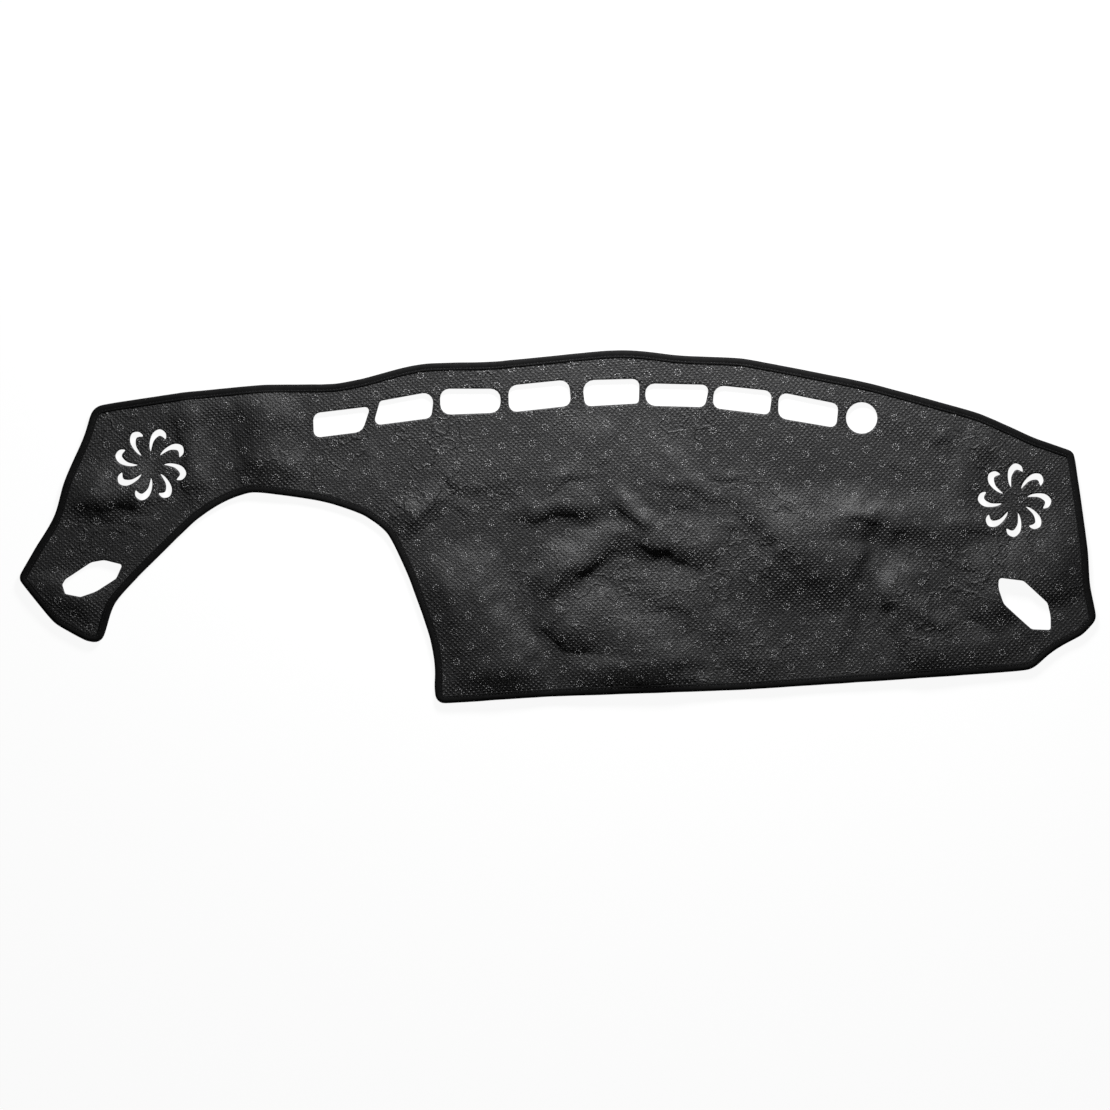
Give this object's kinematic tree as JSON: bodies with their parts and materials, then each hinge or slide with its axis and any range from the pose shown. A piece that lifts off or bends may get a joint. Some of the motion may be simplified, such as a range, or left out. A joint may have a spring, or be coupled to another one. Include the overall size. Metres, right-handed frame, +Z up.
{
  "type": "dashboard cover mat",
  "caption": "Black felt dashboard cover mat, cut to fit a car's dash, with demister slots, vent openings, speaker pinwheels and a bound edge, lying anti-slip side up.",
  "frame": {"origin": "on the floor, under the middle of the mat's bounding box", "axes": "+X along the dashboard to the right end with the side vent below the pinwheel, +Y towards the windscreen edge, +Z up out of the anti-slip side"},
  "size_m": [1.4004, 0.4593, 0.016],
  "materials": {
    "felt_backing": "matt embossed felt backing",
    "binding_tape": "matt woven tape"
  },
  "bodies": {
    "root": {"mat_sheet": "felt_backing", "edge_binding": "binding_tape"}
  },
  "joints": []
}
